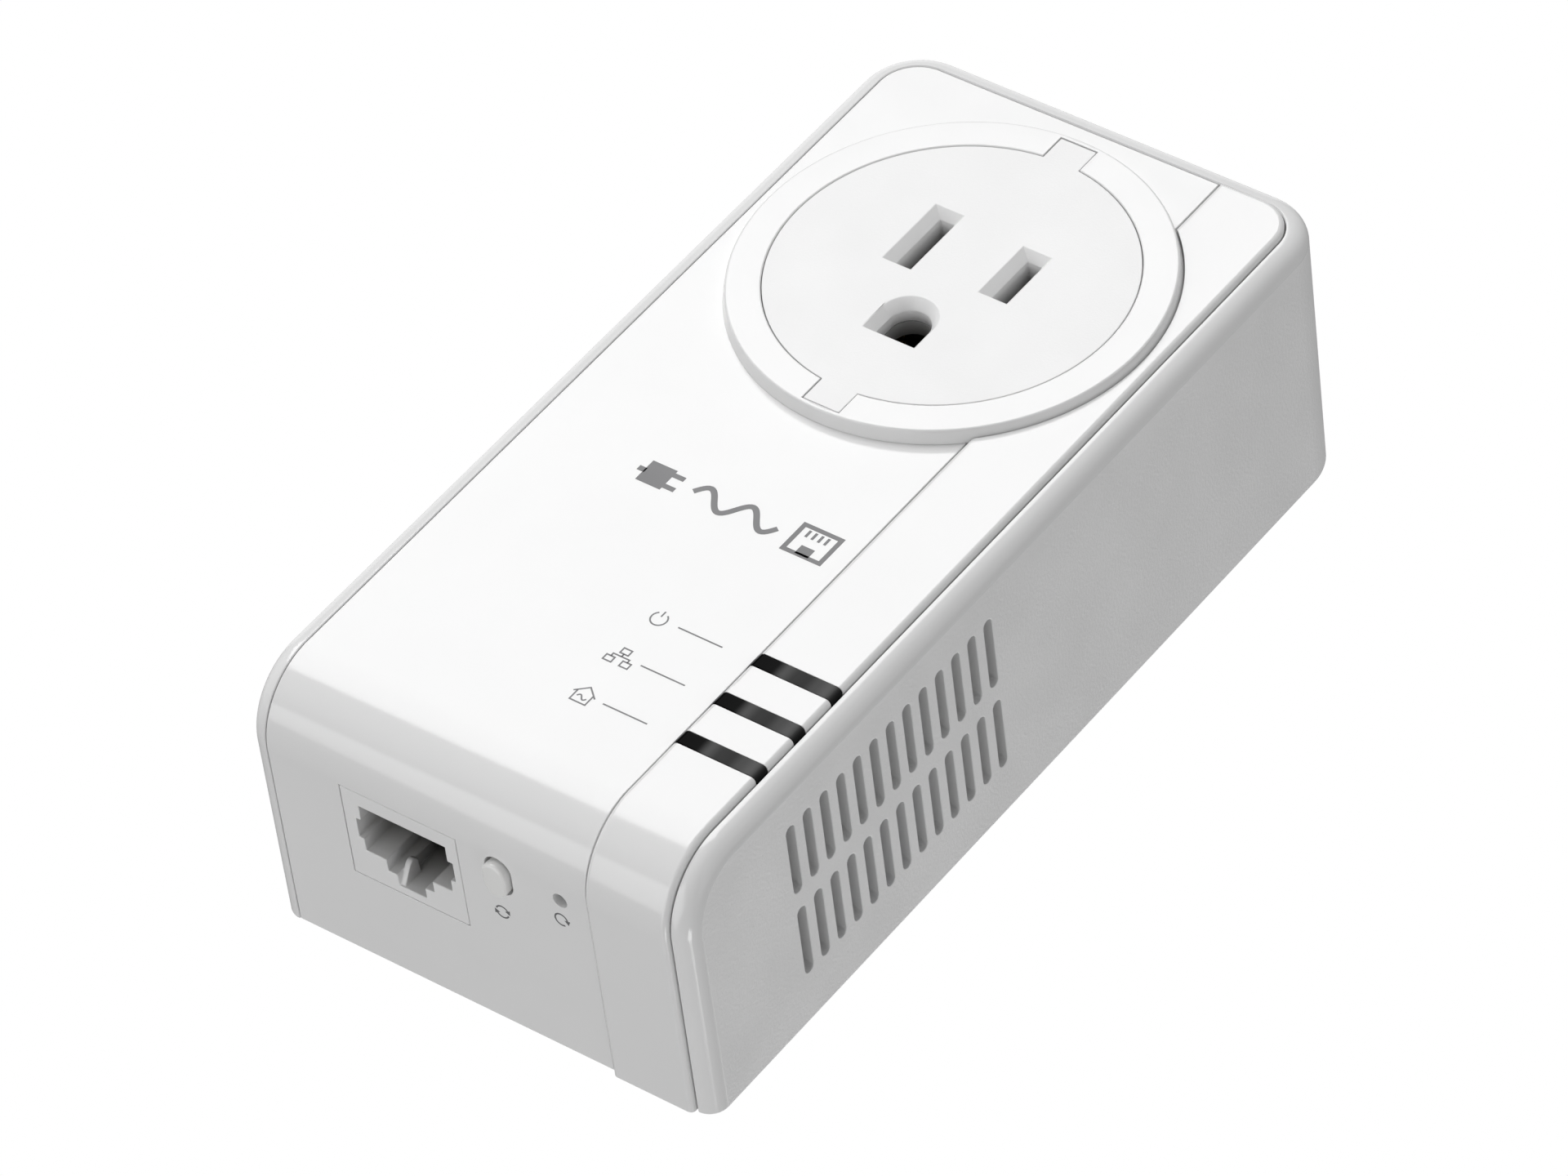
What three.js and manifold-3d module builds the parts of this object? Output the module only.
// Pass-through powerline adapter for a North American wall outlet, in millimetres.
//
// Frame: +X to the right seen from the front, +Y into the wall, +Z up. The origin is the middle of the
// plug on the wall face, so the body lies at negative Y and the blades stand out at positive Y. The
// outlet is at the top and the Ethernet end at the bottom.

import * as THREE from "three";
import { mergeVertices } from "three/addons/utils/BufferGeometryUtils.js";
import Module from "manifold-3d";

const wasm = await Module();
wasm.setup();

// ---------------------------------------------------------------- driving dimensions

const GAP = 0.3; // between two pieces that touch on the real object
const HALF_WIDTH = 30.2;
const TOP = 34.1;
const BOTTOM = -88.7; // the plane of the Ethernet end
const DEPTH = 36; // wall face to front panel
const FRONT = -DEPTH;
const RIM_ROUND = 2.5; // quarter round that frames the front and the Ethernet end
const TOP_CORNER = 7.5;
const END_BEND = 9; // the front turns into the Ethernet end on this radius
const REAR_WALL = 2.2;
const PANEL_BACK = -0.4; // the end panel's lower edge lies just inside the wall face

const SEAM_HALF_WIDTH = 27.75; // inside of the side walls, where the front panel is let in
const SEAM_TOP = 31.57;
const SEAM_CORNER = 5;
const PANEL_WALL = 2.4;

const STRIP_LEFT = 16.66;
const STRIP_PROUD = 0.7;
const STRIP_BEVEL = 0.65;
const STRIP_SINK = 0.9; // how deep the strip is let into the panel

const WINDOW_TOP = -56.2; // upper edge of the first light window
const WINDOW_HEIGHT = 2.04;
const WINDOW_PITCH = 6.76;
const WINDOW_DEPTH = 1.1;
const WINDOW_NAMES = ["power", "ethernet", "powerline"];

const OUTLET_Z = 2.5; // middle of the outlet disc and ring
const RING_RADIUS = 25.9;
const RING_PROUD = 1.82;
const DISC_RADIUS = 21.5;
const DISC_PROUD = 1.75;
const DISC_THICK = 4.85;
const TAB_WIDTH = 5;
const TAB_REACH = 25;
const TAB_THICK = 3.25;

const BLADE_X = 6.35; // half of the standard 12.7 mm between the blades
const BLADE_Z = 5.93; // the blades lie this far above the plug's middle, the ground pin as far below
const GROUND_Z = -BLADE_Z;
const BLADE_THICK = 1.5;
const BLADE_WIDTH = 6.35;
const BLADE_OUT = 17.5;
const BLADE_IN = 11; // how far a blade reaches into the housing
const BLADE_HOLE = 1.6; // radius of the hole near a blade's tip
const PIN_RADIUS = 2.4;
const PIN_OUT = 20.5;

const SLOT_WIDTH = 2;
const NEUTRAL_SLOT = 8.8; // the neutral slot is the longer one
const LINE_SLOT = 7.2;
const FUNNEL_SIDE = 1; // how far a mouth widens to the left and right
const FUNNEL_END = 0.8; // how far it widens upwards and downwards
const FUNNEL_DEPTH = 1.35;
const GROUND_HOLE = 2.6; // half width of the ground hole behind its funnel
const GROUND_FLAT = -8.8; // the flat lower side of the ground hole

const JACK_X = -9.65;
const JACK_Y = -20;
const JACK_WIDTH = 16;
const JACK_HEIGHT = 13.4;
const JACK_LENGTH = 21;
const PORT_X = -9.35; // middle of the socket in the jack's face
const PORT_DEPTH = 15;

const SYNC_X = 4;
const SYNC_Y = -24.1;
const SYNC_WIDTH = 3.2; // of the cap; its hole is a gap wider all round
const SYNC_LENGTH = 5.2;
const SYNC_CROWN = 0.5; // rounded edge of the cap
const SYNC_PROUD = 0.8;
const SYNC_TRAVEL = 0.5; // the button and the switch's plunger move this far when pressed
const RESET_X = 12.45;
const RESET_Y = -24.85;
const RESET_RADIUS = 0.95;

const VENT_FIRST = -70.38;
const VENT_PITCH = 3.026;
const VENT_COUNT = 13;
const VENT_WIDTH = 1.5;
const VENT_LENGTH = 10.05;
const VENT_ROWS = [-24.4, -11.92]; // middle of each row, in Y

const LOGIC_FRONT = -28.5; // front face of the logic board
const BOARD_THICK = 1.6;
const LOGIC_BACK = LOGIC_FRONT + BOARD_THICK;
const POWER_BACK = -4.2; // back face of the power board
const POWER_FRONT = POWER_BACK - BOARD_THICK;
const BOARD_HALF_WIDTH = 25;
const BOARD_BOTTOM = -84.6;
const BOARD_NECK_HALF = 19; // the boards are narrower between the lower screw posts
const BOARD_NECK_TOP = -75;

const SCREW_X = 23.4;
const SCREW_ZS = [27.2, -80.4];
const POST_RADIUS = 3.2;
const POST_MEET = -20; // the rear and front posts meet here
const SCREW_HEAD = 2.6;
const SCREW_SHANK = 1.1;

const LED_X = 22;

const LABEL_HALF_WIDTH = 18;
const LABEL_BOTTOM = -70;
const LABEL_TOP = -34;
const LABEL_THICK = 0.25;
const LABEL_FACE = -0.05; // the label lies just inside the wall face, in a shallow recess

// ---------------------------------------------------------------- shapes and solids

/** Turns a geometry so that its local x, y, z point in the three given directions. */
function mapped(geometry, x, y, z) {
  const basis = new THREE.Matrix4().makeBasis(
    new THREE.Vector3(...x),
    new THREE.Vector3(...y),
    new THREE.Vector3(...z),
  );
  return geometry.applyMatrix4(basis);
}

/** Extrudes a shape drawn in Y, Z along +X. */
function alongX(shape, x0, x1, options = {}) {
  const geometry = new THREE.ExtrudeGeometry(shape, { depth: x1 - x0, bevelEnabled: false, ...options });
  return mapped(geometry, [0, 1, 0], [0, 0, 1], [1, 0, 0]).translate(x0, 0, 0);
}

/** Extrudes a shape drawn in X, Z from y1 forward to y0. */
function alongY(shape, y0, y1, options = {}) {
  const geometry = new THREE.ExtrudeGeometry(shape, { depth: y1 - y0, bevelEnabled: false, ...options });
  return mapped(geometry, [1, 0, 0], [0, 0, 1], [0, -1, 0]).translate(0, y1, 0);
}

/** Extrudes a shape drawn in X, Y along +Z. */
function alongZ(shape, z0, z1, options = {}) {
  const geometry = new THREE.ExtrudeGeometry(shape, { depth: z1 - z0, bevelEnabled: false, ...options });
  return geometry.translate(0, 0, z0);
}

/** A box between two corners. */
function box(x0, x1, y0, y1, z0, z1) {
  const geometry = new THREE.BoxGeometry(x1 - x0, y1 - y0, z1 - z0);
  return geometry.translate((x0 + x1) / 2, (y0 + y1) / 2, (z0 + z1) / 2);
}

/** A cylinder along Y between y0 and y1. */
function cylinderY(radius, x, z, y0, y1, segments = 24) {
  const geometry = new THREE.CylinderGeometry(radius, radius, y1 - y0, segments);
  return geometry.translate(x, (y0 + y1) / 2, z);
}

/** A cylinder along Z between z0 and z1. */
function cylinderZ(radius, x, y, z0, z1, segments = 20) {
  const geometry = new THREE.CylinderGeometry(radius, radius, z1 - z0, segments);
  return geometry.rotateX(Math.PI / 2).translate(x, y, (z0 + z1) / 2);
}

/** A closed polygon as a shape. */
function polygon(points) {
  return new THREE.Shape(points.map(([a, b]) => new THREE.Vector2(a, b)));
}

/** A rectangle with its four corners rounded, about a middle. */
function roundedRectangle(cx, cy, width, height, radius) {
  const right = cx + width / 2;
  const left = cx - width / 2;
  const top = cy + height / 2;
  const bottom = cy - height / 2;
  const shape = new THREE.Shape();
  shape.moveTo(left + radius, bottom);
  shape.lineTo(right - radius, bottom);
  shape.absarc(right - radius, bottom + radius, radius, -Math.PI / 2, 0);
  shape.lineTo(right, top - radius);
  shape.absarc(right - radius, top - radius, radius, 0, Math.PI / 2);
  shape.lineTo(left + radius, top);
  shape.absarc(left + radius, top - radius, radius, Math.PI / 2, Math.PI);
  shape.lineTo(left, bottom + radius);
  shape.absarc(left + radius, bottom + radius, radius, Math.PI, Math.PI * 1.5);
  return shape;
}

/** A slot with round ends, longer along the second axis. */
function stadium(cx, cy, width, length) {
  const radius = width / 2;
  const reach = length / 2 - radius;
  const shape = new THREE.Shape();
  shape.moveTo(cx + radius, cy - reach);
  shape.lineTo(cx + radius, cy + reach);
  shape.absarc(cx, cy + reach, radius, 0, Math.PI);
  shape.lineTo(cx - radius, cy - reach);
  shape.absarc(cx, cy - reach, radius, Math.PI, Math.PI * 2);
  return shape;
}

/** A closed solid between two outlines of equal point count, drawn in X, Z at two values of Y. */
function loft(front, yFront, back, yBack) {
  const count = front.length;
  const positions = [];
  const push = (points, y, order) => order.forEach((i) => positions.push(points[i][0], y, points[i][1]));
  for (let i = 0; i < count; i += 1) {
    const j = (i + 1) % count;
    push(front, yFront, [i]);
    push(front, yFront, [j]);
    push(back, yBack, [j]);
    push(front, yFront, [i]);
    push(back, yBack, [j]);
    push(back, yBack, [i]);
  }
  for (let i = 1; i < count - 1; i += 1) {
    push(front, yFront, [0, i + 1, i]);
    push(back, yBack, [0, i, i + 1]);
  }
  const geometry = new THREE.BufferGeometry();
  geometry.setAttribute("position", new THREE.Float32BufferAttribute(positions, 3));
  return outward(geometry);
}

/** Turns a geometry's triangles over when they face inward. */
function outward(geometry) {
  const p = geometry.attributes.position;
  const a = new THREE.Vector3();
  const b = new THREE.Vector3();
  const c = new THREE.Vector3();
  let volume = 0;
  for (let i = 0; i < p.count; i += 3) {
    a.fromBufferAttribute(p, i);
    b.fromBufferAttribute(p, i + 1);
    c.fromBufferAttribute(p, i + 2);
    volume += a.dot(b.cross(c));
  }
  if (volume < 0) {
    for (let i = 0; i < p.count; i += 3) {
      a.fromBufferAttribute(p, i);
      c.fromBufferAttribute(p, i + 2);
      p.setXYZ(i, c.x, c.y, c.z);
      p.setXYZ(i + 2, a.x, a.y, a.z);
    }
  }
  return geometry;
}

/** A closed geometry as a manifold solid. */
function solid(geometry) {
  const bare = geometry.clone();
  bare.deleteAttribute("normal");
  bare.deleteAttribute("uv");
  const merged = mergeVertices(bare, 1e-4);
  const mesh = new wasm.Mesh({
    numProp: 3,
    vertProperties: new Float32Array(merged.attributes.position.array),
    triVerts: new Uint32Array(merged.index.array),
  });
  return new wasm.Manifold(mesh);
}

/** A manifold solid back as a geometry. */
function geometryOf(manifold) {
  const mesh = manifold.getMesh();
  const geometry = new THREE.BufferGeometry();
  geometry.setAttribute("position", new THREE.Float32BufferAttribute(mesh.vertProperties, 3));
  geometry.setIndex(new THREE.Uint32BufferAttribute(mesh.triVerts, 1));
  geometry.computeVertexNormals();
  return geometry;
}

const joined = (...geometries) => geometryOf(geometries.map(solid).reduce((a, b) => a.add(b)));
const shared = (...geometries) => geometryOf(geometries.map(solid).reduce((a, b) => a.intersect(b)));
const cut = (body, ...tools) => geometryOf(tools.map(solid).reduce((a, b) => a.subtract(b), solid(body)));

// ---------------------------------------------------------------- materials

const PLASTIC = { roughness: 0.45, metalness: 0 };
const materials = {
  white: new THREE.MeshStandardMaterial({ color: 0xf2f2f0, ...PLASTIC }),
  panel: new THREE.MeshStandardMaterial({ color: 0xf6f6f4, ...PLASTIC }),
  textured: new THREE.MeshStandardMaterial({ color: 0xececea, roughness: 0.7, metalness: 0 }),
  black: new THREE.MeshStandardMaterial({ color: 0x141416, roughness: 0.15, metalness: 0 }),
  dark: new THREE.MeshStandardMaterial({ color: 0x2a2a2c, roughness: 0.5, metalness: 0 }),
  jack: new THREE.MeshStandardMaterial({ color: 0xd2d4d4, roughness: 0.5, metalness: 0 }),
  brass: new THREE.MeshStandardMaterial({ color: 0xd0b060, roughness: 0.3, metalness: 1 }),
  nickel: new THREE.MeshStandardMaterial({ color: 0xc9c6be, roughness: 0.25, metalness: 1 }),
  steel: new THREE.MeshStandardMaterial({ color: 0xa8a8aa, roughness: 0.35, metalness: 1 }),
  board: new THREE.MeshStandardMaterial({ color: 0x1d5a3a, roughness: 0.5, metalness: 0 }),
  clear: new THREE.MeshStandardMaterial({ color: 0xdfe6ea, roughness: 0.2, metalness: 0 }),
  amber: new THREE.MeshStandardMaterial({ color: 0xc08a30, roughness: 0.5, metalness: 0 }),
  film: new THREE.MeshStandardMaterial({ color: 0xe8e2c8, roughness: 0.4, metalness: 0 }),
  blue: new THREE.MeshStandardMaterial({ color: 0x2c5fae, roughness: 0.4, metalness: 0 }),
  green: new THREE.MeshStandardMaterial({ color: 0x2f8a4a, roughness: 0.5, metalness: 0 }),
};

const adapter = new THREE.Group();
adapter.name = "powerline_adapter";

/** Adds one named piece. */
function piece(name, geometry, material) {
  const mesh = new THREE.Mesh(geometry, materials[material]);
  mesh.name = name;
  adapter.add(mesh);
}

// ---------------------------------------------------------------- outlines shared by several pieces

/** Outline of the body seen from the front, running far past the Ethernet end. */
function frontOutline(halfWidth, top, corner) {
  const past = BOTTOM - 20;
  const shape = new THREE.Shape();
  shape.moveTo(-halfWidth, past);
  shape.lineTo(halfWidth, past);
  shape.lineTo(halfWidth, top - corner);
  shape.absarc(halfWidth - corner, top - corner, corner, 0, Math.PI / 2);
  shape.lineTo(-halfWidth + corner, top);
  shape.absarc(-halfWidth + corner, top - corner, corner, Math.PI / 2, Math.PI);
  return shape;
}

/** Outline of the body seen from the side, moved inward by an inset, past the top and the wall face. */
function sideOutline(inset, back = 12, top = TOP + 12) {
  const front = FRONT + inset;
  const bottom = BOTTOM + inset;
  const bend = END_BEND - inset;
  const shape = new THREE.Shape();
  shape.moveTo(front, top);
  shape.lineTo(front, bottom + bend);
  shape.absarc(front + bend, bottom + bend, bend, Math.PI, Math.PI * 1.5);
  shape.lineTo(back, bottom);
  shape.lineTo(back, top);
  return shape;
}

const rimBevel = {
  bevelEnabled: true,
  bevelThickness: RIM_ROUND,
  bevelSize: RIM_ROUND,
  bevelOffset: -RIM_ROUND,
  bevelSegments: 4,
  curveSegments: 6,
};

/** A shell of the front and the Ethernet end together, between two insets and two values of X. */
function bentShell(outer, inner, x0, x1, back = PANEL_BACK) {
  const whole = alongX(sideOutline(outer, back), x0, x1, { curveSegments: 6 });
  const hollow = alongX(sideOutline(inner, back + 5, TOP + 20), x0 - 5, x1 + 5, { curveSegments: 6 });
  return cut(whole, hollow);
}

/** The panel's outline seen from the front, as a block that trims the panel and the strip. */
function panelTrim() {
  const outline = frontOutline(SEAM_HALF_WIDTH - GAP, SEAM_TOP - GAP, SEAM_CORNER - GAP);
  return alongY(outline, FRONT - 5, 5, { curveSegments: 6 });
}

const windowMiddle = (index) => WINDOW_TOP - WINDOW_HEIGHT / 2 - index * WINDOW_PITCH;

/** The ring's cylinder, with a clearance, through the front. */
const ringClear = () => cylinderY(RING_RADIUS + GAP, 0, OUTLET_Z, FRONT - 6, FRONT + 8, 48);

/** The way for the light behind each window, through the strip and the panel. */
const lightHoles = () => WINDOW_NAMES.map((_, i) =>
  box(LED_X - 2.2, LED_X + 2.2, FRONT - 5, FRONT + 8, windowMiddle(i) - 0.7, windowMiddle(i) + 0.7));

const screwPlaces = SCREW_ZS.flatMap((z) => [-SCREW_X, SCREW_X].map((x) => [x, z]));

/** Outline of the plug insert in the wall face, grown by a margin. */
const plugOutline = (margin) => roundedRectangle(0, 0.4, 27 + 2 * margin, 27 + 2 * margin, 8);

/** Outline of the rating label in the wall face, grown by a margin. */
const labelOutline = (margin) => roundedRectangle(
  0, (LABEL_BOTTOM + LABEL_TOP) / 2,
  2 * (LABEL_HALF_WIDTH + margin), LABEL_TOP - LABEL_BOTTOM + 2 * margin, 1.5,
);

// ---------------------------------------------------------------- housing, panel and strip

/** Vent slots through both side walls. */
function ventCutters() {
  const slot = stadium(0, 0, VENT_WIDTH, VENT_LENGTH);
  return VENT_ROWS.flatMap((y) => Array.from({ length: VENT_COUNT }, (_, i) => {
    const cutter = new THREE.ExtrudeGeometry(slot, { depth: 80, bevelEnabled: false, curveSegments: 2 });
    return mapped(cutter, [0, 0, -1], [0, 1, 0], [1, 0, 0]).translate(-40, y, VENT_FIRST + i * VENT_PITCH);
  }));
}

function rearHousing() {
  const outline = frontOutline(HALF_WIDTH, TOP, TOP_CORNER);
  const seenFromFront = alongY(outline, FRONT + RIM_ROUND, 6, rimBevel);
  const fromSide = alongX(sideOutline(0), -HALF_WIDTH + RIM_ROUND, HALF_WIDTH - RIM_ROUND, rimBevel);
  const reach = box(-40, 40, -60, 0, BOTTOM - 10, TOP + 10);
  const outer = shared(seenFromFront, fromSide, reach);

  const seam = frontOutline(SEAM_HALF_WIDTH, SEAM_TOP, SEAM_CORNER);
  const cavity = alongY(seam, FRONT - 5, -REAR_WALL, { curveSegments: 6 });
  const end = box(-SEAM_HALF_WIDTH, SEAM_HALF_WIDTH, -10, 5, BOTTOM - 5, BOTTOM + PANEL_WALL + GAP);
  const posts = screwPlaces.map(([x, z]) => cylinderY(POST_RADIUS, x, z, POST_MEET, -1, 16));
  const heads = screwPlaces.map(([x, z]) => cylinderY(SCREW_HEAD + GAP, x, z, -3.4, 2, 20));
  const shanks = screwPlaces.map(([x, z]) => cylinderY(SCREW_SHANK + GAP, x, z, POST_MEET - 5, 2, 12));
  const plugHole = alongY(plugOutline(GAP), -6, 2, { curveSegments: 4 });
  const labelRecess = alongY(labelOutline(GAP), LABEL_FACE - LABEL_THICK - GAP, 2, { curveSegments: 3 });
  const walls = cut(outer, cavity, end, ...ventCutters());
  return cut(joined(walls, ...posts), ...heads, ...shanks, plugHole, labelRecess);
}

function frontPanel() {
  const shell = bentShell(0, PANEL_WALL, -HALF_WIDTH, HALF_WIDTH);
  const recess = bentShell(-3, STRIP_SINK + GAP, STRIP_LEFT - GAP, HALF_WIDTH + 1, 5);
  const jackHole = box(
    JACK_X - JACK_WIDTH / 2 - GAP, JACK_X + JACK_WIDTH / 2 + GAP,
    JACK_Y - JACK_HEIGHT / 2 - GAP, JACK_Y + JACK_HEIGHT / 2 + GAP,
    BOTTOM - 5, BOTTOM + 8,
  );
  const syncOutline = stadium(SYNC_X, SYNC_Y, SYNC_WIDTH + 2 * GAP, SYNC_LENGTH + 2 * GAP);
  const syncHole = alongZ(syncOutline, BOTTOM - 5, BOTTOM + 8, { curveSegments: 8 });
  const resetHole = cylinderZ(RESET_RADIUS, RESET_X, RESET_Y, BOTTOM - 5, BOTTOM + 8, 16);
  const posts = screwPlaces.map(([x, z]) =>
    cylinderY(POST_RADIUS, x, z, FRONT + PANEL_WALL - 0.4, POST_MEET - GAP, 16));
  const threads = screwPlaces.map(([x, z]) => cylinderY(SCREW_SHANK + GAP, x, z, -31, POST_MEET + 1, 12));
  const open = cut(
    shared(shell, panelTrim()), ringClear(), recess, jackHole, syncHole, resetHole, ...lightHoles(),
  );
  return cut(joined(open, ...posts), ...threads);
}

/** The space inside the strip's two bevelled sides, run down the front and round the bend. */
function stripEnvelope() {
  const left = STRIP_LEFT + STRIP_BEVEL;
  const right = SEAM_HALF_WIDTH - GAP - STRIP_BEVEL;
  return alongX(sideOutline(-STRIP_PROUD), left, right, {
    bevelEnabled: true,
    bevelThickness: STRIP_BEVEL,
    bevelSize: STRIP_BEVEL,
    bevelOffset: -STRIP_BEVEL,
    bevelSegments: 1,
    curveSegments: 6,
  });
}

function lightStrip() {
  const bar = bentShell(-STRIP_PROUD, STRIP_SINK, STRIP_LEFT - 1, HALF_WIDTH);
  const floor = FRONT - STRIP_PROUD + WINDOW_DEPTH + GAP;
  const half = WINDOW_HEIGHT / 2 + GAP;
  const notches = WINDOW_NAMES.map((_, i) =>
    box(STRIP_LEFT - 1, HALF_WIDTH, FRONT - 5, floor, windowMiddle(i) - half, windowMiddle(i) + half));
  return cut(shared(bar, panelTrim(), stripEnvelope()), ringClear(), ...notches, ...lightHoles());
}

function lightWindow(index) {
  const middle = windowMiddle(index);
  const half = WINDOW_HEIGHT / 2;
  const face = FRONT - STRIP_PROUD;
  const bar = box(STRIP_LEFT, HALF_WIDTH, face, face + WINDOW_DEPTH, middle - half, middle + half);
  return shared(bar, stripEnvelope());
}

piece("rear_housing", rearHousing(), "white");
piece("front_panel", frontPanel(), "panel");
piece("light_strip", lightStrip(), "panel");
WINDOW_NAMES.forEach((name, i) => piece(`light_window_${name}`, lightWindow(i), "black"));
const labelPlate = alongY(labelOutline(0), LABEL_FACE - LABEL_THICK, LABEL_FACE, { curveSegments: 3 });
piece("rating_label", labelPlate, "film");

// ---------------------------------------------------------------- outlet

/** Outline of a blade slot; share is 0 for the slot itself and 1 for its mouth. */
const slotPoints = (x, length) => (share) => {
  const a = SLOT_WIDTH / 2 + share * FUNNEL_SIDE;
  const b = length / 2 + share * FUNNEL_END;
  return [[x - a, BLADE_Z - b], [x + a, BLADE_Z - b], [x + a, BLADE_Z + b], [x - a, BLADE_Z + b]];
};

/** Outline of the ground hole, a dome above and a flat side below, in the same way. */
const groundPoints = (share) => {
  const radius = GROUND_HOLE + share * FUNNEL_SIDE;
  const flat = GROUND_FLAT - share * FUNNEL_END;
  const dome = Array.from({ length: 9 }, (_, i) => {
    const angle = (i * Math.PI) / 8;
    return [radius * Math.cos(angle), GROUND_Z + radius * Math.sin(angle)];
  });
  return [[-radius, flat], [radius, flat], ...dome];
};

/** A straight hole and its widening mouth in a face at a given Y. */
function mouth(points, face) {
  const above = 0.5;
  const hole = loft(points(0), face - above, points(0), 0);
  const funnel = loft(points(1 + above / FUNNEL_DEPTH), face - above, points(0), face + FUNNEL_DEPTH);
  return [hole, funnel];
}

function tabs(width, reach) {
  const y0 = FRONT - DISC_PROUD;
  return box(-width / 2, width / 2, y0, y0 + TAB_THICK, OUTLET_Z - reach, OUTLET_Z + reach);
}

function outletFace() {
  const face = FRONT - DISC_PROUD;
  const disc = cylinderY(DISC_RADIUS, 0, OUTLET_Z, face, face + DISC_THICK, 48);
  const body = joined(disc, tabs(TAB_WIDTH, TAB_REACH));
  return cut(
    body,
    ...mouth(slotPoints(-BLADE_X, NEUTRAL_SLOT), face),
    ...mouth(slotPoints(BLADE_X, LINE_SLOT), face),
    ...mouth(groundPoints, face),
  );
}

function outletRing() {
  const front = FRONT - RING_PROUD;
  const back = FRONT + 4.5;
  const edge = 0.5;
  const section = [
    [DISC_RADIUS + GAP, front],
    [RING_RADIUS - edge, front],
    [RING_RADIUS, front + edge],
    [RING_RADIUS, back],
    [DISC_RADIUS + GAP, back],
    [DISC_RADIUS + GAP, front],
  ];
  const ring = new THREE.LatheGeometry(section.map(([r, y]) => new THREE.Vector2(r, y)), 48);
  ring.translate(0, 0, OUTLET_Z);
  const reach = TAB_REACH + GAP;
  const half = TAB_WIDTH / 2 + GAP;
  const floor = FRONT - DISC_PROUD + TAB_THICK + GAP;
  const notch = box(-half, half, front - 1, floor, OUTLET_Z - reach, OUTLET_Z + reach);
  return cut(outward(ring.toNonIndexed()), notch);
}

const BLOCK_FRONT = FRONT - DISC_PROUD + DISC_THICK + GAP;
const BLOCK_BACK = -16;
const BLOCK_RADIUS = 20;

function outletBlock() {
  const block = cylinderY(BLOCK_RADIUS, 0, OUTLET_Z, BLOCK_FRONT, BLOCK_BACK, 32);
  const flats = box(-16, 16, -60, 0, OUTLET_Z - 25, OUTLET_Z + 25);
  const pockets = [-BLADE_X, BLADE_X].map((x) =>
    box(x - 3.2, x + 3.2, BLOCK_FRONT - 1, BLOCK_BACK + 1, BLADE_Z - 5.2, BLADE_Z + 5.2),
  );
  const groundPocket = box(-4.6, 4.6, BLOCK_FRONT - 1, BLOCK_BACK + 1, GROUND_Z - 4.6, GROUND_Z + 4.2);
  return cut(shared(block, flats), ...pockets, groundPocket);
}

/** A folded spring clip of sheet brass: two leaves that meet on a foot, with a tail to the plug blade. */
function clip(x, z, half, width, tailBack) {
  const sheet = 0.5;
  const front = BLOCK_FRONT + 0.8;
  const foot = -18;
  const leaves = polygon([
    [x - half - sheet, front], [x - half, front], [x - half, foot - sheet], [x + half, foot - sheet],
    [x + half, front], [x + half + sheet, front], [x + half + sheet, foot], [x - half - sheet, foot],
  ]);
  const fold = alongZ(leaves, z - width / 2, z + width / 2);
  const tail = box(x - sheet, x + sheet, foot - 0.2, tailBack, z - 1.6, z + 1.6);
  return joined(fold, tail);
}

piece("outlet_ring", outletRing(), "panel");
piece("outlet_face", outletFace(), "textured");
piece("outlet_block", outletBlock(), "dark");
piece("contact_neutral", clip(-BLADE_X, BLADE_Z, 1.5, 7.6, -BLADE_IN - GAP), "brass");
piece("contact_line", clip(BLADE_X, BLADE_Z, 1.5, 6.6, -BLADE_IN - GAP), "brass");
piece("contact_ground", clip(0, GROUND_Z, 3, 5.4, -BLADE_IN - GAP), "brass");

// ---------------------------------------------------------------- plug

function plugBase() {
  const plate = alongY(plugOutline(0), -REAR_WALL - 0.2, 0, { curveSegments: 4 });
  const boss = alongY(roundedRectangle(0, 0.4, 23, 23, 6), -9, -1, { curveSegments: 4 });
  const slots = [-BLADE_X, BLADE_X].map((x) => bladeBlock(x, GAP, -20, 5));
  const pin = cylinderY(PIN_RADIUS + GAP, 0, GROUND_Z, -20, 5, 20);
  return cut(joined(plate, boss), ...slots, pin);
}

const bladeBlock = (x, margin, y0, y1) => {
  const a = BLADE_THICK / 2 + margin;
  const b = BLADE_WIDTH / 2 + margin;
  return box(x - a, x + a, y0, y1, BLADE_Z - b, BLADE_Z + b);
};

function blade(x) {
  const tip = BLADE_OUT;
  const half = BLADE_WIDTH / 2;
  const side = new THREE.Shape();
  side.moveTo(-BLADE_IN, BLADE_Z - half);
  side.lineTo(tip - 1.6, BLADE_Z - half);
  side.lineTo(tip, BLADE_Z - half + 1.4);
  side.lineTo(tip, BLADE_Z + half - 1.4);
  side.lineTo(tip - 1.6, BLADE_Z + half);
  side.lineTo(-BLADE_IN, BLADE_Z + half);
  const hole = new THREE.Path();
  hole.absarc(tip - 5.8, BLADE_Z, BLADE_HOLE, 0, Math.PI * 2, true);
  side.holes.push(hole);
  const plate = alongX(side, x - BLADE_THICK / 2, x + BLADE_THICK / 2, { curveSegments: 8 });
  const edge = 0.45;
  const thin = polygon([
    [x - BLADE_THICK / 2, -20], [x + BLADE_THICK / 2, -20], [x + BLADE_THICK / 2, tip - 1.2],
    [x + BLADE_THICK / 2 - edge, tip], [x - BLADE_THICK / 2 + edge, tip], [x - BLADE_THICK / 2, tip - 1.2],
  ]);
  return shared(plate, alongZ(thin, BLADE_Z - 6, BLADE_Z + 6));
}

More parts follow.
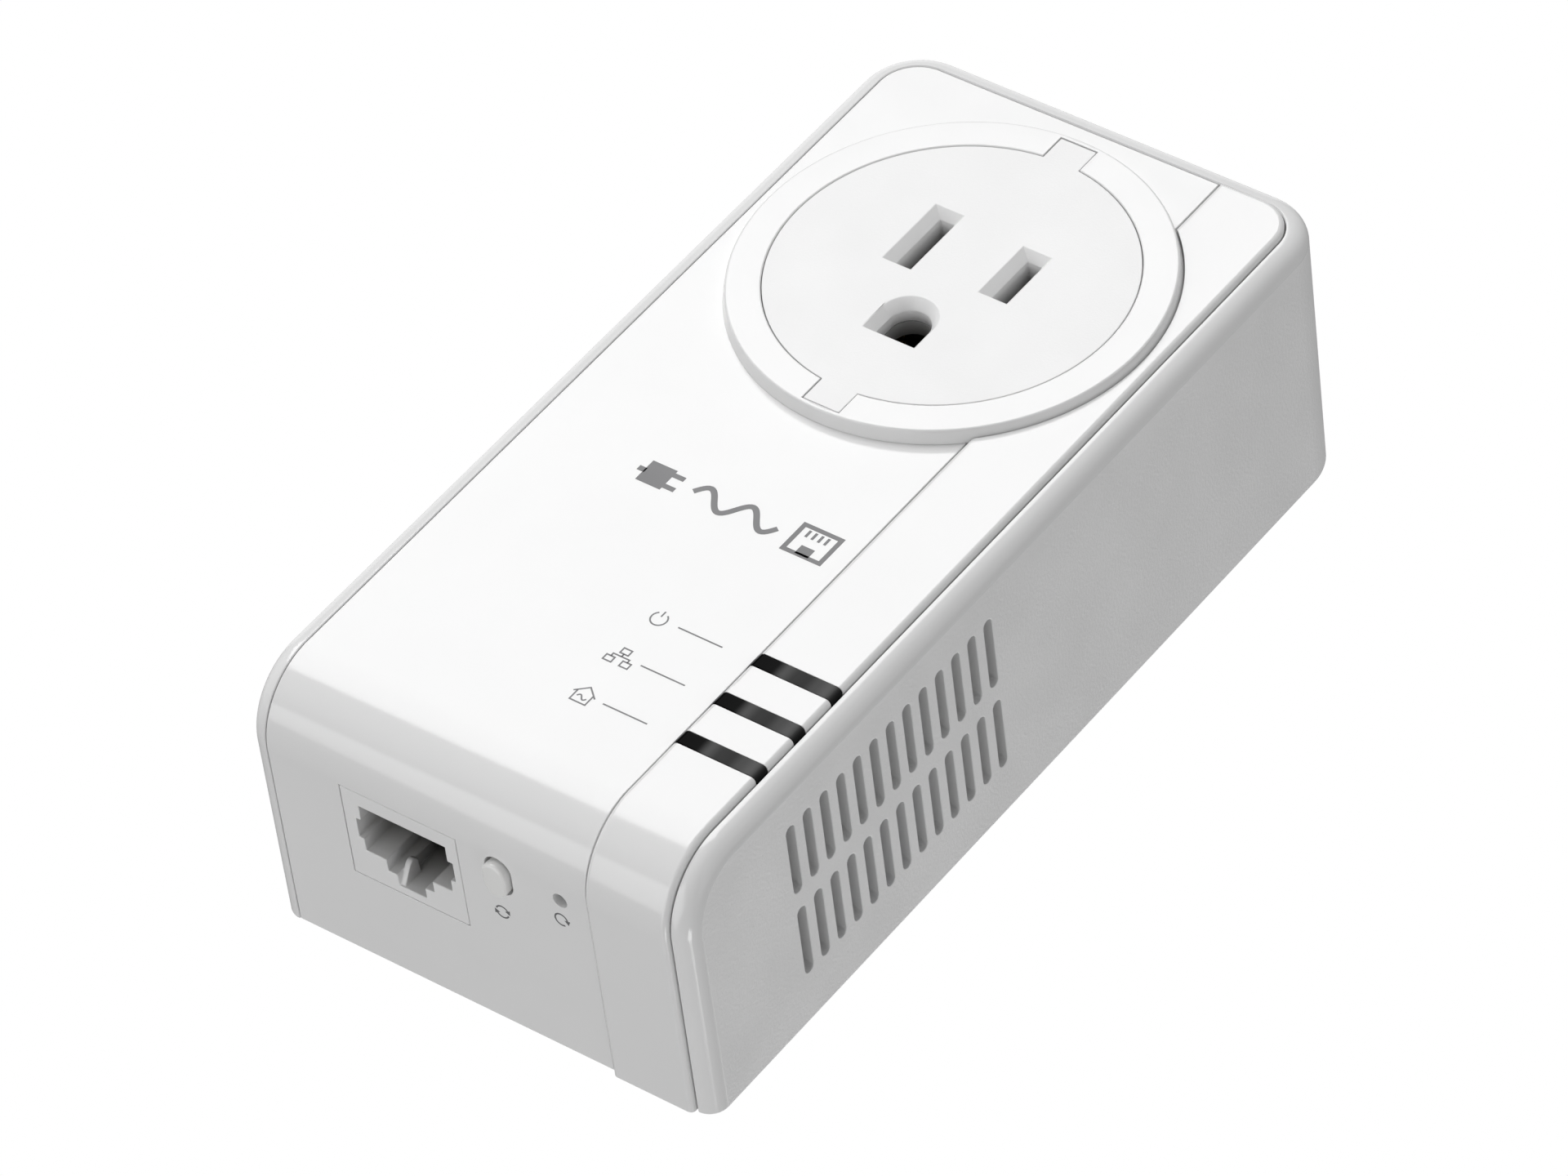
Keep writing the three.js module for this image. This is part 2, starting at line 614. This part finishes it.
function groundPin() {
  const r = PIN_RADIUS;
  const steps = 4;
  const nose = Array.from({ length: steps + 1 }, (_, i) => {
    const angle = (i / steps) * (Math.PI / 2);
    return [r * Math.cos(angle), PIN_OUT - r + r * Math.sin(angle)];
  });
  nose[steps][0] = 0;
  const section = [[0, -BLADE_IN], [r, -BLADE_IN], ...nose];
  const pin = new THREE.LatheGeometry(section.map(([a, y]) => new THREE.Vector2(a, y)), 20);
  return geometryOf(solid(outward(pin.translate(0, 0, GROUND_Z).toNonIndexed())));
}

piece("plug_base", plugBase(), "dark");
piece("blade_neutral", blade(-BLADE_X), "nickel");
piece("blade_line", blade(BLADE_X), "nickel");
piece("ground_pin", groundPin(), "nickel");

// ---------------------------------------------------------------- fasteners and label

function screw(x, z) {
  const section = [[0, -1.2], [SCREW_HEAD, -1.2], [SCREW_HEAD, -3], [SCREW_SHANK, -3.1], [SCREW_SHANK, -28],
    [0, -29]];
  const body = new THREE.LatheGeometry(section.map(([r, y]) => new THREE.Vector2(r, y)), 16);
  const arm = 0.45;
  const across = box(x - 1.6, x + 1.6, -2.2, 0, z - arm, z + arm);
  const upright = box(x - arm, x + arm, -2.2, 0, z - 1.6, z + 1.6);
  return cut(outward(body.translate(x, 0, z).toNonIndexed()), across, upright);
}

screwPlaces.forEach(([x, z], i) => piece(`case_screw_${i + 1}`, screw(x, z), "steel"));

// ---------------------------------------------------------------- boards

/** A board's outline: full width above, narrower between the lower screw posts. */
function boardOutline(top) {
  return polygon([
    [-BOARD_NECK_HALF, BOARD_BOTTOM], [BOARD_NECK_HALF, BOARD_BOTTOM], [BOARD_NECK_HALF, BOARD_NECK_TOP],
    [BOARD_HALF_WIDTH, BOARD_NECK_TOP], [BOARD_HALF_WIDTH, top], [-BOARD_HALF_WIDTH, top],
    [-BOARD_HALF_WIDTH, BOARD_NECK_TOP], [-BOARD_NECK_HALF, BOARD_NECK_TOP],
  ]);
}

/** A component on the back of the logic board. */
function onLogic(x0, x1, height, z0, z1) {
  return box(x0, x1, LOGIC_BACK + GAP, LOGIC_BACK + GAP + height, z0, z1);
}

/** A component on the front of the power board. */
function onPower(x0, x1, height, z0, z1) {
  return box(x0, x1, POWER_FRONT - GAP - height, POWER_FRONT - GAP, z0, z1);
}

/** A can or coil standing on the power board. */
function canOnPower(radius, x, z, height, segments = 20) {
  return cylinderY(radius, x, z, POWER_FRONT - GAP - height, POWER_FRONT - GAP, segments);
}

piece("logic_board", alongY(boardOutline(-27), LOGIC_FRONT, LOGIC_BACK), "board");
piece("power_board", alongY(boardOutline(-20), POWER_FRONT, POWER_BACK), "board");
piece("board_header", box(-24, -21, POWER_FRONT - GAP - 20.5, POWER_FRONT - GAP, -50, -34), "dark");

// ---------------------------------------------------------------- Ethernet jack

function ethernetJack() {
  const x0 = JACK_X - JACK_WIDTH / 2;
  const y0 = JACK_Y - JACK_HEIGHT / 2;
  const y1 = JACK_Y + JACK_HEIGHT / 2;
  const body = box(x0, x0 + JACK_WIDTH, y0, y1, BOTTOM, BOTTOM + JACK_LENGTH);
  const deep = BOTTOM + PORT_DEPTH;
  const socket = box(PORT_X - 6, PORT_X + 6, JACK_Y - 4.6, JACK_Y + 2.3, BOTTOM - 2, deep);
  const grooves = box(PORT_X - 6.7, PORT_X + 6.7, JACK_Y - 2.4, JACK_Y + 0.5, BOTTOM - 2, BOTTOM + 6);
  const latch = box(PORT_X - 3.2, PORT_X + 3.2, JACK_Y + 1, JACK_Y + 4, BOTTOM - 2, deep);
  const latchTip = box(PORT_X - 1.9, PORT_X + 1.9, JACK_Y + 2, JACK_Y + 5.6, BOTTOM - 2, deep);
  return cut(body, socket, grooves, latch, latchTip);
}

/** Eight spring wires on one carrier: they slope back from the mouth towards the latch side. */
function jackContacts() {
  const pitch = 1.27;
  const low = JACK_Y - 4.6 + GAP;
  const inner = BOTTOM + PORT_DEPTH - GAP;
  const carrier = box(PORT_X - 5.4, PORT_X + 5.4, low, low + 1.4, inner - 1.6, inner);
  const wires = Array.from({ length: 8 }, (_, i) => {
    const x = PORT_X + (i - 3.5) * pitch;
    const side = polygon([
      [low + 0.1, BOTTOM + 4], [low + 0.6, BOTTOM + 4], [low + 1.5, inner - 1], [low + 1, inner - 1],
    ]);
    return alongX(side, x - 0.2, x + 0.2);
  });
  return joined(carrier, ...wires);
}

piece("ethernet_jack", ethernetJack(), "jack");
piece("jack_contacts", jackContacts(), "brass");
piece("lan_transformer", onLogic(-16, -3, 4, -64, -56), "dark");

// ---------------------------------------------------------------- buttons

const SWITCH_FRONT = BOTTOM + 7.3; // the switch bodies' face, towards the Ethernet end
const PLUNGER_RADIUS = 1.75;
const PLUNGER_SUNK = 1.2; // how deep a plunger sits in its switch at rest

function syncButton() {
  const inside = BOTTOM + PANEL_WALL;
  const outline = stadium(SYNC_X, SYNC_Y, SYNC_WIDTH, SYNC_LENGTH);
  const cap = alongZ(outline, BOTTOM - SYNC_PROUD + SYNC_CROWN, inside + 0.5, {
    bevelEnabled: true,
    bevelThickness: SYNC_CROWN,
    bevelSize: SYNC_CROWN,
    bevelOffset: -SYNC_CROWN,
    bevelSegments: 3,
    curveSegments: 8,
  });
  const flangeOutline = stadium(SYNC_X, SYNC_Y, SYNC_WIDTH + 2, SYNC_LENGTH + 2);
  const flange = alongZ(flangeOutline, inside + GAP, inside + GAP + 0.8, { curveSegments: 6 });
  const stem = cylinderZ(1, SYNC_X, SYNC_Y, inside, SWITCH_FRONT - 1 - GAP, 12);
  return joined(cap, flange, stem);
}

/** A right-angle push switch on the back of the logic board, its face towards the Ethernet end. */
function switchBody(x, y) {
  const body = box(x - 3, x + 3, LOGIC_BACK + GAP, LOGIC_BACK + GAP + 5.6, SWITCH_FRONT, SWITCH_FRONT + 3.6);
  const well = SWITCH_FRONT + PLUNGER_SUNK + SYNC_TRAVEL + GAP;
  return cut(body, cylinderZ(PLUNGER_RADIUS + GAP, x, y, SWITCH_FRONT - 1, well, 16));
}

const switchPlunger = (x, y) =>
  cylinderZ(PLUNGER_RADIUS, x, y, SWITCH_FRONT - 1, SWITCH_FRONT + PLUNGER_SUNK, 16);

piece("sync_button", syncButton(), "white");
piece("sync_switch_body", switchBody(SYNC_X, SYNC_Y), "dark");
piece("sync_switch_plunger", switchPlunger(SYNC_X, SYNC_Y), "black");
piece("reset_switch_body", switchBody(RESET_X, SYNC_Y), "dark");
piece("reset_switch_plunger", switchPlunger(RESET_X, SYNC_Y), "black");

// ---------------------------------------------------------------- lights

function lightGuide() {
  const top = windowMiddle(0) + 1.4;
  const bottom = windowMiddle(WINDOW_NAMES.length - 1) - 1.4;
  const bar = box(LED_X - 1.6, LED_X + 1.6, -33.2, -32.2, bottom, top);
  const legs = WINDOW_NAMES.map((_, i) =>
    box(LED_X - 1.4, LED_X + 1.4, -32.6, -30.3, windowMiddle(i) - 0.9, windowMiddle(i) + 0.9),
  );
  return joined(bar, ...legs);
}

piece("light_guide", lightGuide(), "clear");
WINDOW_NAMES.forEach((name, i) => {
  const z = windowMiddle(i);
  const led = box(LED_X - 1, LED_X + 1, LOGIC_FRONT - GAP - 0.9, LOGIC_FRONT - GAP, z - 0.6, z + 0.6);
  piece(`led_${name}`, led, "film");
});

// ---------------------------------------------------------------- logic board parts

function heatSink() {
  const plate = box(-1, 17, LOGIC_BACK + GAP + 2, LOGIC_BACK + GAP + 3.4, -60, -42);
  const fins = Array.from({ length: 6 }, (_, i) => {
    const x = -1 + i * 3.36;
    return box(x, x + 1.2, LOGIC_BACK + GAP + 3.2, LOGIC_BACK + GAP + 6.4, -60, -42);
  });
  return joined(plate, ...fins);
}

piece("main_chip", onLogic(1, 15, 1.6, -58, -44), "dark");
piece("heat_sink", heatSink(), "steel");
piece("flash_chip", onLogic(-16, -10, 1.4, -50, -45), "dark");
piece("crystal", onLogic(-7.5, -3.5, 2.6, -48, -37.5), "nickel");
piece("coupling_transformer", onLogic(-6, 4, 7.5, -36, -28.5), "amber");
piece("coupling_capacitor", onLogic(7, 18, 6, -36, -30), "amber");

// ---------------------------------------------------------------- power board parts

piece("power_transformer", onPower(-18, 0, 13, -66, -48), "film");
piece("bulk_capacitor", canOnPower(6, 10, -70, 12, 24), "black");
piece("output_capacitor", canOnPower(4, 19, -56, 10), "blue");
piece("bridge_rectifier", onPower(2, 14, 7, -60, -56), "dark");
piece("line_choke", canOnPower(5.5, -8, -41, 9), "green");
piece("x_capacitor", onPower(-1.5, 14, 9, -36, -28), "amber");
piece("varistor", canOnPower(4.5, -13, -31, 4.5), "blue");
piece("mains_fuse", onPower(-17, -4, 5, -26.3, -21.5), "clear");

// ---------------------------------------------------------------- wires from the plug to the power board

/** An insulated wire through a list of points. */
function wire(points) {
  const path = new THREE.CatmullRomCurve3(points.map((p) => new THREE.Vector3(...p)));
  const section = new THREE.Shape().absarc(0, 0, 1, 0, Math.PI * 2);
  return new THREE.ExtrudeGeometry(section, {
    extrudePath: path, steps: 12, bevelEnabled: false, curveSegments: 4,
  });
}

const WIRE_Y = -13.2;
const neutralPath = [[-9.2, WIRE_Y, 4], [-16, WIRE_Y, -2], [-18, WIRE_Y, -12], [-20, -8, -21]];
const linePath = [[9.2, WIRE_Y, 4], [16, WIRE_Y, -2], [18, WIRE_Y, -12], [18, -8, -21]];
const groundPath = [[2.6, WIRE_Y, -9], [5, WIRE_Y, -13], [5.5, WIRE_Y, -17], [6, -8, -22]];
piece("wire_neutral", wire(neutralPath), "white");
piece("wire_line", wire(linePath), "black");
piece("wire_ground", wire(groundPath), "green");

export default adapter;
